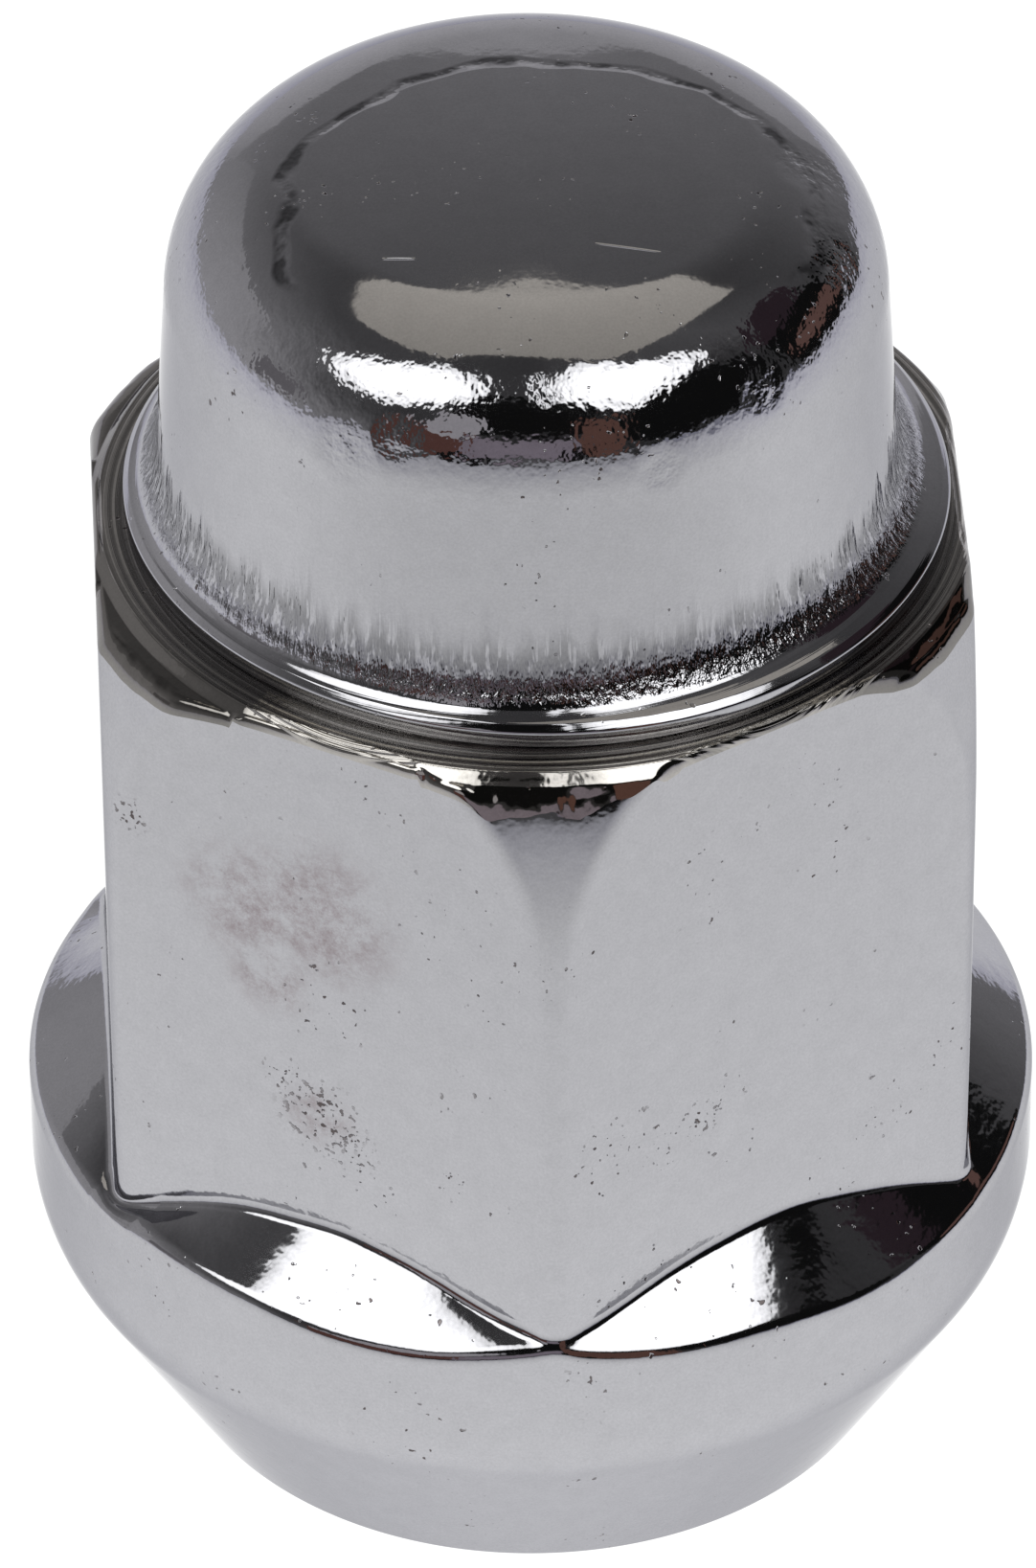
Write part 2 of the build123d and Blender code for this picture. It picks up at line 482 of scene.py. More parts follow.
def dome_rows():
    """The dome's outside down to the flare: crowned end, rounded edge, leaning wall."""
    end_height = APEX - CROWN_RISE
    half = wall_radius(end_height)
    sphere = (half * half + CROWN_RISE * CROWN_RISE) / (2 * CROWN_RISE)
    lean = radians(WALL_LEAN)
    # the centre of the rounding lies DOME_ROUND inside the wall and inside the sphere
    reach = sphere - DOME_ROUND
    height = end_height
    for _ in range(60):
        radius = wall_radius(height) - DOME_ROUND / cos(lean)
        height = APEX - sphere + np.sqrt(reach * reach - radius * radius)
    tip = atan2(radius, height - (APEX - sphere))
    rows = [(sphere * sin(a), APEX - sphere + sphere * cos(a)) for a in np.linspace(0, tip, 26)[1:]]
    for a in np.linspace(tip, pi / 2 - lean, 40)[1:]:
        rows.append((radius + DOME_ROUND * sin(a), height + DOME_ROUND * cos(a)))
    start = rows[-1]
    end = (WALL_FOOT, FLARE_TOP)
    for t in guarded(16)[1:]:
        rows.append((start[0] + (end[0] - start[0]) * t, start[1] + (end[1] - start[1]) * t))
    return rows


def leaning_centre(height):
    """The drawn wall sits a little back at its foot, where the cap was welded off centre."""
    return CAP_SHIFT * smooth((APEX - SHIFT_START - height) / SHIFT_REACH)


def flare_steps(per_part=7):
    """How far out and down the flare and the flange's edge have gone, step by step."""
    out, down = [0.0], [0.0]
    for first, last, length in FLARE:
        for t in (np.arange(per_part) + 0.5) / per_part:
            lean = radians(first + (last - first) * t)
            out.append(out[-1] + length / per_part * sin(lean))
            down.append(down[-1] + length / per_part * cos(lean))
    return np.array(out[1:]), np.array(down[1:])


def flange_rows(az):
    """The flare, the flange's side and its foot: radius, height, and share of the off-centre shift."""
    flange = FLANGE - NARROW * smooth(1 - np.abs(off_from(NARROW_SIDE, az)) / NARROW_REACH)
    out, down = flare_steps()
    reach = flange - WALL_FOOT
    steps = zip(out / out[-1], down)
    rows = [(WALL_FOOT + reach * share, FLARE_TOP - fall, smooth(share)) for share, fall in steps]
    rows.append((flange, FLARE_TOP - down[-1] - 0.02, 1.0))
    rows += [(flange, TOP + rise, 1.0) for rise in FLANGE_EDGE]
    rows.append((flange - FLANGE_UNDER, TOP, 1.0))
    return rows


def hollow_rows():
    """The seat under the wall and the hollow: leaning wall, rounded corner, level end."""
    top = APEX - END_THICKNESS
    turn = top - HOLLOW_ROUND
    rows = [(WALL_FOOT - SHEET + 0.1, TOP, 0.0)]
    heights = TOP + (turn - TOP) * np.linspace(0, 1, 12)
    rows += [(wall_radius(height) - SHEET, height, 0.0) for height in heights]
    last = wall_radius(turn) - SHEET
    for angle in np.linspace(0, pi / 2, 12)[1:]:
        rows.append((last - HOLLOW_ROUND * (1 - cos(angle)), top - HOLLOW_ROUND * (1 - sin(angle)), 0.0))
    return rows + [(0.05, top, 0.0)]


def cap_piece():
    """Drawn dome: crowned end, leaning wall, concave flare, squeezed off-centre flange, hollow."""
    az = even_columns(CAP_COLUMNS)
    rows = [(radius, height, 0.0) for radius, height in dome_rows()] + flange_rows(az) + hollow_rows()
    x = np.array([radius * np.cos(az) + FLANGE_SHIFT * shift for radius, _, shift in rows])
    y = np.array([radius * np.sin(az) + leaning_centre(height) for radius, height, _ in rows])
    z = np.array([np.full_like(az, height) for _, height, _ in rows])
    return sheet_mesh("cap", x, y, z, centre=(0, 0, APEX))


# ==== materials ====


class Nodes:
    """Short hand for building the node tree of a material or a world."""

    def __init__(self, owner):
        owner.use_nodes = True
        self.owner = owner
        self.tree = owner.node_tree
        self.tree.nodes.clear()

    def add(self, kind, inputs=None, **settings):
        node = self.tree.nodes.new(kind)
        for key, value in settings.items():
            setattr(node, key, value)
        for key, value in (inputs or {}).items():
            if isinstance(value, bpy.types.NodeSocket):
                self.tree.links.new(value, node.inputs[key])
            else:
                node.inputs[key].default_value = value
        return node

    def math(self, operation, a, b=0.0):
        return self.add("ShaderNodeMath", {0: a, 1: b}, operation=operation).outputs[0]

    def plus(self, base, value, share=1.0):
        """The base and this share of the value."""
        return self.math("ADD", base, self.math("MULTIPLY", value, share))

    def times(self, first, *others):
        for other in others:
            first = self.math("MULTIPLY", first, other)
        return first

    def off(self, value, middle):
        return self.math("ABSOLUTE", self.math("SUBTRACT", value, middle))

    def vector(self, operation, a, b=(0.0, 0.0, 0.0)):
        output = "Value" if operation in ("LENGTH", "DISTANCE", "DOT_PRODUCT") else "Vector"
        return self.add("ShaderNodeVectorMath", {0: a, 1: b}, operation=operation).outputs[output]

    def scaled(self, vector, factor):
        node = self.add("ShaderNodeVectorMath", {0: vector, "Scale": factor}, operation="SCALE")
        return node.outputs["Vector"]

    def axis(self, vector, letter):
        return self.add("ShaderNodeSeparateXYZ", {"Vector": vector}).outputs[letter]

    def noise(self, vector, scale, detail=2.0, rough=0.5):
        inputs = {"Vector": vector, "Scale": scale, "Detail": detail, "Roughness": rough}
        return self.add("ShaderNodeTexNoise", inputs).outputs["Fac"]

    def ramp(self, value, low, high):
        """0 below low, 1 above high (or the other way round), smooth between."""
        inputs = {"Value": value, "From Min": low, "From Max": high}
        return self.add("ShaderNodeMapRange", inputs, interpolation_type="SMOOTHSTEP").outputs["Result"]

    def ramp_mm(self, value, low, high):
        return self.ramp(value, low * MM, high * MM)

    def upright(self, vector, squash):
        """Places for noise that is drawn out upright."""
        inputs = {"Vector": vector, "Scale": (1.0, 1.0, squash)}
        return self.add("ShaderNodeMapping", inputs).outputs["Vector"]

    def mixed(self, share, a, b, blend="MIX"):
        node = self.add("ShaderNodeMix", {"Factor": share, 6: a, 7: b}, data_type="RGBA", blend_type=blend)
        return node.outputs[2]

    def surface(self, shader, output="ShaderNodeOutputMaterial"):
        self.add(output, {"Surface": shader.outputs[0]})
        return self.owner


# In what follows scales of noise are per metre, and depths of relief are mm.
CHROME = (0.445, 0.445, 0.467)
DULL = (0.10, 0.085, 0.085, 1.0)  # the bottom of a pit
STAIN = (0.25, 0.205, 0.215, 1.0)
FRESNEL_TINT = (0.62, 0.62, 0.64, 1.0)
WAVES_SCALE = 380.0  # slow waviness of the forging
PEEL_SCALE = 2200.0
PIT_SCALE = 5200.0
PIT_EDGE = 0.06  # how sharply a pit begins
PIT_DEPTH = 0.02
CLUSTER_SCALE = 420.0
MOTTLE = (1500.0, 0.14)  # scale, and spread of the grey
GRAIN = (16000.0, 0.22)
ROUGHNESS = (0.035, 0.05)  # least, and how much more it gets

# small marks on the flats: place (mm), reach (mm), how sparse, and scale
PIT_CLUSTERS = [
    ((-5.4, -8.8, 14.0), 1.5, 0.60, 6200.0),
    ((-6.2, -8.3, 14.9), 0.9, 0.64, 6800.0),
    ((-4.7, -9.2, 13.3), 0.9, 0.62, 6800.0),
    ((4.2, -9.5, 14.9), 0.8, 0.64, 6800.0),
    ((3.5, -9.9, 14.4), 0.8, 0.63, 6800.0),
    ((2.8, -10.3, 13.9), 0.8, 0.64, 6800.0),
    ((-9.7, -6.3, 21.4), 0.7, 0.60, 6800.0),
    ((1.2, -11.2, 14.9), 0.9, 0.66, 6800.0),
    ((-2.4, -10.6, 13.2), 0.7, 0.66, 6800.0),
    ((7.6, -7.5, 12.2), 0.9, 0.68, 6800.0),
    ((-0.3, -11.8, 20.5), 1.6, 0.69, 6200.0),
]
SMUDGES = [  # place (mm), reach (mm)
    ((-5.4, -8.7, 20.2), 2.9),
    ((-7.0, -7.9, 19.9), 2.4),
    ((-6.5, -8.2, 17.9), 1.5),
    ((-5.5, -8.8, 14.0), 1.2),
]


def around_place(n, position, place, reach, core=0.25):
    """1 at a place, falling to 0 at its reach."""
    far = n.vector("DISTANCE", position, tuple(value * MM for value in place))
    return n.ramp_mm(far, reach, reach * core)


def most(n, parts):
    total = parts[0]
    for part in parts[1:]:
        total = n.math("MAXIMUM", total, part)
    return total


def uneven(n, value, spread):
    """About 1, up or down by half the spread."""
    return n.plus(1 - spread / 2, value, spread)


def pitted(n, position, cluster, marks):
    """1 in the pits: sparse ones everywhere, and those of the given marks."""
    speck = n.noise(position, PIT_SCALE, 1.0)
    pits = n.times(n.ramp(speck, 0.70, 0.70 + PIT_EDGE), n.ramp(cluster, 0.54, 0.66))
    for place, reach, sparse, scale in marks:
        grain = n.noise(position, scale, 1.5)
        spots = n.times(n.ramp(grain, sparse, sparse + PIT_EDGE), around_place(n, position, place, reach))
        pits = n.math("MAXIMUM", pits, spots)
    return pits


def chrome(name, relief=None, tone=None, marks=(), peel_depth=0.0060, waves_depth=0.020):
    """Bright plating over forged steel: slow waviness, fine peel, faint mottling and sparse pits."""
    n = Nodes(bpy.data.materials.new(name))
    position = n.add("ShaderNodeTexCoord").outputs["Object"]
    cluster = n.noise(position, CLUSTER_SCALE, 2.0)
    pits = pitted(n, position, cluster, marks)
    waves = n.times(n.noise(position, WAVES_SCALE, 1.0), waves_depth)
    height = n.plus(waves, n.noise(position, PEEL_SCALE, 2.0, 0.6), peel_depth)
    height = n.plus(height, pits, -PIT_DEPTH)
    if relief:
        height = relief(n, position, height)
    bump = n.add("ShaderNodeBump", {"Height": height, "Distance": MM, "Strength": 1.0})
    mottle = uneven(n, n.noise(position, MOTTLE[0], 3.0, 0.65), MOTTLE[1])
    grain = uneven(n, n.noise(position, GRAIN[0], 1.0), GRAIN[1])
    grey = n.scaled(CHROME, n.times(mottle, grain))
    if tone:
        grey = tone(n, position, grey)
    shader = n.add(
        "ShaderNodeBsdfPrincipled",
        {
            "Base Color": n.mixed(pits, grey, DULL),
            "Metallic": 1.0,
            "Specular Tint": FRESNEL_TINT,
            "Roughness": n.plus(ROUGHNESS[0], cluster, ROUGHNESS[1]),
            "Normal": bump.outputs["Normal"],
        },
    )
    return n.surface(shader)


def from_axis(n, position, centre=(0.0, 0.0, 0.0)):
    """Distance from an upright axis, and the same along one line, so that noise of it makes rings."""
    level = n.vector("MULTIPLY", n.vector("SUBTRACT", position, centre), (1.0, 1.0, 0.0))
    radius = n.vector("LENGTH", level)
    return radius, n.add("ShaderNodeCombineXYZ", {"X": radius}).outputs["Vector"]


TURNED_CENTRE = (STEP_SHIFT * MM, 0.0, 0.0)
GROOVE_DEPTH = 0.060
RAISED_RINGS = (10.02, 10.26)  # radii, mm
RAISED = 0.022
FRONT_SHADE_Y = (-8.6, -7.6)  # Y past which the corners get painted shade


def turned_lines(n, position, height):
    """Concentric tool marks on the level turned face, with two raised rings."""
    radius, line = from_axis(n, position, TURNED_CENTRE)
    on_face = n.ramp_mm(radius, STEP_RADIUS + 0.01, STEP_RADIUS - 0.04)
    height = n.plus(height, n.times(n.noise(line, 6500.0, 4.0, 0.75), on_face), GROOVE_DEPTH)
    for ring in RAISED_RINGS:
        height = n.plus(height, n.ramp_mm(n.off(radius, ring * MM), 0.09, 0.01), RAISED)
    return height


def turned_tone_and_front_shade(n, position, grey):
    """The turned face is duller and warmer, in rings; on the front side the corners outside it get painted
    shade, half as bright.
    """
    radius, line = from_axis(n, position, TURNED_CENTRE)
    dark = n.plus(0.25, n.ramp(n.noise(line, 5200.0, 4.0, 0.75), 0.34, 0.66), 0.95)
    on_face = n.ramp_mm(radius, STEP_RADIUS, STEP_RADIUS - 0.10)
    # painted shade: the corners outside the step on the front side are half as bright
    aside = n.ramp_mm(n.axis(position, "Y"), *FRONT_SHADE_Y)
    outside = n.times(n.ramp_mm(radius, STEP_RADIUS - 0.10, STEP_RADIUS), aside)
    level = n.plus(1.0, n.math("SUBTRACT", dark, 1.0), on_face)
    level = n.times(level, n.plus(1.0, outside, -0.50))
    return n.scaled(n.vector("MULTIPLY", grey, (1.04, 1.0, 0.90)), level)


def handled_tone(n, position, grey):
    """Faint brownish stains on one flat."""
    where = most(n, [around_place(n, position, *smudge) for smudge in SMUDGES])
    stain = n.ramp(n.noise(position, 700.0, 6.0, 0.85), 0.36, 0.72)
    return n.mixed(n.times(where, stain, 0.95), grey, STAIN)


SCRATCHES = [  # from, to (mm), half-width
    ((1.35, -3.45, 35.5), (3.0, -3.78, 35.4), 0.06),
    ((1.5, -3.75, 35.5), (2.7, -3.85, 35.4), 0.04),
    ((-3.5, -3.62, 35.35), (-2.7, -3.72, 35.35), 0.05),
    ((-3.1, 6.1, 34.8), (-2.2, 6.4, 34.7), 0.05),
]
SCRATCH_DEPTH = 0.02
DENTS = [  # place (mm), reach
    ((-4.51, -7.07, 32.46), 1.0),
    ((2.68, -7.97, 32.29), 0.7),
    ((5.09, -6.31, 33.27), 0.8),
    ((6.5, 0.0, 34.6), 1.2),
    ((7.0, -2.6, 34.1), 1.1),
    ((-3.2, -7.3, 32.9), 0.9),
]
DENT_DEPTH = 0.07
PRESS_CENTRE = (0.40 * MM, -1.9 * MM, 0.0)
PRESS_SQUASH = (0.92, 1.0, 1.0)
PRESS_RADIUS = 5.75  # mm
PRESS_WANDER = 1.3  # mm
PRESS_DEPTH = 0.030
STREAK_DEPTH = 0.080
RING_DEPTH = 0.010
ORANGE_DEPTH = 0.016
WALL_FOOT_SHADE = 0.42  # painted shade: how much darker the foot of the wall is, where it turns into the flare


def scratch(n, position, start, end, half):
    """1 on a straight scratch, 0 beside it."""
    start, end = Vector(start) * MM, Vector(end) * MM
    along_it = (end - start).normalized()
    off = n.vector("SUBTRACT", position, (start + end) / 2)
    run = n.vector("DOT_PRODUCT", off, along_it)
    across = n.vector("DISTANCE", off, n.scaled(along_it, run))
    reach = (end - start).length / 2
    ends = n.ramp(n.math("ABSOLUTE", run), reach, reach * 0.7)
    return n.times(n.ramp_mm(across, half, half * 0.3), ends)


def pressed_edge(n, position):
    """Crumbly ring where the crown was pressed, at the start of the rounded edge."""
    moved = n.vector("MULTIPLY", n.vector("SUBTRACT", position, PRESS_CENTRE), PRESS_SQUASH)
    radius, _ = from_axis(n, moved)
    wander = n.times(n.math("SUBTRACT", n.noise(position, CLUSTER_SCALE, 2.0), 0.5), PRESS_WANDER * MM)
    line = n.ramp_mm(n.off(n.math("ADD", radius, wander), PRESS_RADIUS * MM), 0.24, 0.04)
    upper = n.ramp_mm(n.axis(position, "Z"), 33.8, 34.3)
    away = n.ramp_mm(n.axis(position, "Y"), -4.2, -3.2)
    return n.times(line, away, upper, n.noise(position, 2400.0, 2.0, 0.6))


def ragged_height(n, position, spread):
    """Height, with an upright raggedness of this spread (mm)."""
    ragged = n.math("SUBTRACT", n.noise(n.upright(position, 0.05), 1500.0, 2.0), 0.5)
    return n.plus(n.axis(position, "Z"), ragged, spread * MM)


def wall_streaks(n, position, z):
    """Upright marks at the foot of the drawn wall and on the first part of the flare."""
    streak = n.noise(n.upright(position, 0.14), 4200.0, 3.0, 0.65)
    start = n.ramp_mm(ragged_height(n, position, 3.0), FLARE_TOP + 1.0, FLARE_TOP - 0.3)
    return n.times(streak, start, n.ramp_mm(z, FLARE_TOP - 1.34, FLARE_TOP - 1.08))


def flare_rings(n, position, z):
    """Fine rings on the lower part of the flare."""
    _, line = from_axis(n, position)
    return n.times(n.noise(line, 5200.0, 3.0, 0.7), n.ramp_mm(z, FLARE_TOP - 1.1, FLARE_TOP - 1.3))


def orange_peel(n, position, z):
    """Peel round the dome's edge, where the sheet was stretched most."""
    edge = n.times(n.ramp_mm(z, APEX - 4.4, APEX - 3.2), n.ramp_mm(z, APEX - 0.7, APEX - 1.3))
    return n.times(n.noise(position, 3000.0, 2.0, 0.6), edge)


def drawn_relief(n, position, height):
    """What drawing and handling left on the dome."""
    z = n.axis(position, "Z")
    dents = most(n, [around_place(n, position, *dent) for dent in DENTS])
    height = n.plus(height, wall_streaks(n, position, z), STREAK_DEPTH)
    height = n.plus(height, flare_rings(n, position, z), RING_DEPTH)
    height = n.plus(height, orange_peel(n, position, z), ORANGE_DEPTH)
    height = n.plus(height, n.times(n.noise(position, 1700.0, 3.0, 0.65), dents), -DENT_DEPTH)
    height = n.plus(height, most(n, [scratch(n, position, *one) for one in SCRATCHES]), -SCRATCH_DEPTH)
    return n.plus(height, pressed_edge(n, position), -PRESS_DEPTH)


def wall_foot_shade(n, position):
    """Painted shade: 1 where the foot of the wall and the start of the flare are darkened, 0 on the bright
    upright streaks left in it.
    """
    start = n.ramp_mm(ragged_height(n, position, 2.0), FLARE_TOP + 0.55, FLARE_TOP - 0.45)
    end = n.ramp_mm(n.axis(position, "Z"), FLARE_TOP - 1.25, FLARE_TOP - 1.0)
    streaks = n.ramp(n.noise(n.upright(position, 0.06), 8800.0, 2.0, 0.6), 0.61, 0.53)
    return n.times(start, end, streaks)


def drawn_tone_and_shade(n, position, grey):
    """The pressed ring is dark, and painted shade darkens the foot of the wall where it turns into the flare.
    """
    broken = n.ramp(n.noise(position, 700.0, 3.0, 0.7), 0.44, 0.60)
    line = n.math("MINIMUM", n.times(pressed_edge(n, position), broken, 1.6), 0.6)
    # the second factor darkens the foot of the wall with painted shade
    level = n.times(n.math("SUBTRACT", 1.0, line), n.plus(1.0, wall_foot_shade(n, position), -WALL_FOOT_SHADE))
    return n.scaled(grey, level)


def glow_emission(name, colour):
    """Emission as bright as the mesh's glow."""
    n = Nodes(bpy.data.materials.new(name))
    glow = n.add("ShaderNodeAttribute", attribute_name="glow").outputs["Fac"]
    return n.surface(n.add("ShaderNodeEmission", {"Color": (*colour, 1.0), "Strength": glow}))


# ==== the studio ====

FRONT = -90.0 - CAM_SIDE  # world azimuth that faces the camera
SHELL = 1.20  # m
CARD = 1.00  # m
CARD_GAP = 0.012  # m, each card nearer than the one before
HORIZON = -0.2  # degrees, just below the floor's edge
COOL_WHITE = (1.0, 0.98, 1.0)


def direction(azimuth, elevation, distance):
    """A point seen from the object; azimuth 0 faces the camera, and plus is its right."""
    a, e = radians(FRONT + azimuth), radians(elevation)
    return (distance * cos(e) * cos(a), distance * cos(e) * sin(a), distance * sin(e))


def glowing(name, points, faces, glows, colour):
    """A surface of the studio that only reflections see."""
    mesh = bpy.data.meshes.new(name)
    mesh.from_pydata(points, [], faces)
    mesh.attributes.new("glow", "FLOAT", "POINT").data.foreach_set("value", glows)
    mesh.materials.append(glow_emission(name, colour))
    thing = add_object(name, mesh)
    thing.visible_camera = thing.visible_diffuse = thing.visible_shadow = False


def blob(name, outline, colour, edge, middle, distance, rings=12, falling=2.5):
    """A curved card inside an outline of (azimuth, elevation) points."""
    outline = np.array(outline, float)
    centre = outline.mean(0)
    points, glows = [direction(*centre, distance)], [middle]
    for t in np.linspace(0, 1, rings + 1)[1:]:
        for corner in outline:
            points.append(direction(*(centre + (corner - centre) * t), distance))
            glows.append(edge + (middle - edge) * (1 - t ** falling))
    n = len(outline)
    faces = [(0, 1 + k, 1 + (k + 1) % n) for k in range(n)]
    for i in range(rings - 1):
        a = 1 + i * n
        faces += [(a + k, a + n + k, a + n + (k + 1) % n, a + (k + 1) % n) for k in range(n)]
    glowing(name, points, faces, glows, colour)


def patch(left, right, low, high, steps=8):
    """Outline of a card with upright sides between two azimuths and two elevations."""
    across = np.linspace(left, right, steps)
    return [(a, low) for a in across] + [(a, high) for a in across[::-1]]


def rounded(corners, steps=6):
    """A smooth closed outline through its corners."""
    p = np.array(corners, float)
    out = []
    for k in range(len(p)):
        a, b, c, d = p[k - 1], p[k], p[(k + 1) % len(p)], p[(k + 2) % len(p)]
        for t in np.linspace(0, 1, steps, endpoint=False):
            square, cube = (2 * a - 5 * b + 4 * c - d) * t ** 2, (3 * b - a - 3 * c + d) * t ** 3
            out.append(0.5 * (2 * b + (c - a) * t + square + cube))
    return out


# brightness of the surround: azimuth, then low, middle and high up
SURROUND_LEVELS = (5, 22, 42, 55)
SURROUND = {
    -180: (0.40, 0.30, 0.17, 0.11),
    -165: (0.38, 0.27, 0.17, 0.10),
    -150: (0.36, 0.26, 0.14, 0.09),
    -120: (0.30, 0.27, 0.18, 0.09),
    -90: (0.48, 0.32, 0.18, 0.09),
    -65: (0.30, 0.12, 0.12, 0.09),
    -40: (0.10, 0.06, 0.08, 0.07),
    0: (0.10, 0.03, 0.05, 0.06),
    40: (0.03, 0.015, 0.03, 0.09),
    70: (0.05, 0.015, 0.05, 0.10),
    90: (0.06, 0.06, 0.12, 0.12),
    120: (0.09, 0.09, 0.08, 0.07),
    140: (0.22, 0.19, 0.10, 0.07),
    165: (0.38, 0.27, 0.15, 0.09),
    180: (0.40, 0.30, 0.17, 0.11),
}


def surround_light(azimuth, elevation):
    keys = sorted(SURROUND)
    azimuth = (azimuth + 180) % 360 - 180
    column = [np.interp(azimuth, keys, levels) for levels in zip(*(SURROUND[key] for key in keys))]
    return float(np.interp(elevation, SURROUND_LEVELS, column))


def shell(cols=144, rows=45):
    """Surround of the studio: dark above, paler low down behind and at the left."""
    places = [(360 * j / cols, 90 * i / rows + HORIZON) for i in range(rows + 1) for j in range(cols)]
    points = [direction(*place, SHELL) for place in places]
    glows = [surround_light(*place) for place in places]
    faces = []
    for i in range(rows):
        for j in range(cols):
            k = (j + 1) % cols
            faces.append((i * cols + j, i * cols + k, (i + 1) * cols + k, (i + 1) * cols + j))
    glowing("surround", points, faces, glows, COOL_WHITE)


PANEL = [  # outline seen from the object, in tangents from straight up: right, back
    (-0.30, -0.24), (-0.45, -0.12), (-0.557, 0.15), (-0.5, 0.29), (-0.41, 0.41), (-0.33, 0.56), (-0.2, 0.73),
    (0.0, 0.87), (0.2, 0.75), (0.34, 0.58), (0.46, 0.46), (0.65, 0.38), (0.557, 0.15), (0.49, 0.0),
    (0.43, -0.115), (0.367, -0.21), (0.257, -0.257), (0.125, -0.216), (0.0, -0.176), (-0.15, -0.17),
]
PANEL_MIDDLE = (0.02, 0.25)
PANEL_HEIGHT = 0.8  # m
PANEL_COLOUR = (0.50, 0.47, 0.42)
PANEL_LIGHT = (0.944, 0.42)  # above the object, and how much it grows towards the back


def overhead_panel():
    """Warm grey panel above the object, brighter towards the back."""
    right, back, up = Vector(direction(90, 0, 1)), Vector(direction(180, 0, 1)), Vector((0, 0, PANEL_HEIGHT))
    spots = [PANEL_MIDDLE, *PANEL]
    points = [(right * a + back * b) * PANEL_HEIGHT + up for a, b in spots]
    glows = [PANEL_LIGHT[0] + PANEL_LIGHT[1] * b for _, b in spots]
    count = len(PANEL)
    faces = [(0, 1 + k, 1 + (k + 1) % count) for k in range(count)]
    glowing("overhead", points, faces, glows, PANEL_COLOUR)


# pale sweeps low down: distance (m), then azimuth, top elevation, brightness at the foot and at the top
SWEEPS = {
    "sweep_behind": (1.05, [
        (148, 3, 0.42, 0.40), (154, 10, 0.50, 0.42), (162, 18, 0.62, 0.46), (170, 23.5, 0.74, 0.46),
        (180, 26.5, 0.80, 0.46), (190, 25, 0.78, 0.46), (200, 18, 0.62, 0.45), (208, 8, 0.46, 0.42),
    ]),
    "wall_left": (1.07, [
        (-152, 25, 0.40, 0.28), (-140, 27, 0.46, 0.34), (-120, 29, 0.50, 0.40), (-105, 28.5, 0.48, 0.40),
        (-96, 27, 0.46, 0.36),
    ]),
}


def sweep(name, distance, places, rows=8):
    """Curved low card with a crisp top edge."""
    points, glows, faces = [], [], []
    for azimuth, high, foot, top in places:
        for t in np.linspace(0, 1, rows):
            points.append(direction(azimuth, HORIZON + (high - HORIZON) * t, distance))
            glows.append(foot + (top - foot) * t)
    for i in range(len(places) - 1):
        for j in range(rows - 1):
            a = i * rows + j
            faces.append((a, a + rows, a + rows + 1, a + 1))
    glowing(name, points, faces, glows, COOL_WHITE)


BLACK = (0.008, 0.008, 0.008)
DARK_GREY = (0.20, 0.19, 0.20)
BROWN = (0.17, 0.095, 0.080)
BROWN_LEFT = (0.13, 0.062, 0.052)
BROWN_RIGHT = (0.15, 0.078, 0.062)
BROWN_BLACK = (0.036, 0.024, 0.030)
LILAC = (0.25, 0.215, 0.25)
MIDDLE_GREY = (0.45, 0.43, 0.45)
BLUE_GREY = (0.30, 0.30, 0.36)
WHITE = (1.0, 1.0, 1.0)
WARM_WHITE = (1.0, 1.0, 0.99)
EVEN = (1.0, 1.0)
SOFTBOX = (1.35, 3.2)
FRONT_BLACK = [(-22, 46), (-19, 24), (0, 21), (19, 23), (22, 40), (10, 46), (-5, 48)]
RIGHT_BLACK = [(33, 30), (32, 8), (52, 6), (76, 9), (77, 30), (62, 38), (48, 35)]
SIDE_BLACK = [(86, 27), (88, 6), (104, 1), (120, 3), (122, 18), (108, 29)]
SIDE_BROWN = [(92, 9), (108, 8), (120, 8), (118, 15), (104, 17), (93, 16)]
SIDE_BROWN_HIGH = [(84, 28), (86, 38), (96, 44), (108, 42), (112, 32), (98, 27)]
GREY_LEFT = [(-36, 17), (-31, 27), (-24, 34), (-15, 31), (-14, 22), (-24, 18)]
LEFT_SOFTBOX = [(-75, 37), (-71, 48), (-59, 57), (-44, 65), (-30, 65), (-20, 59), (-15, 49),
                (-25, 40), (-38, 33), (-50, 29), (-64, 31)]
RIGHT_SOFTBOX = [(11, 46), (10, 57), (17, 66), (29, 71), (41, 69), (54, 62), (65, 56), (71, 50),
                 (71, 44), (62, 41), (48, 37), (34, 32), (24, 38), (16, 43)]
SLIT = [(2.5, 64), (5, 67), (7, 64), (8, 50), (7, 42), (4, 48)]
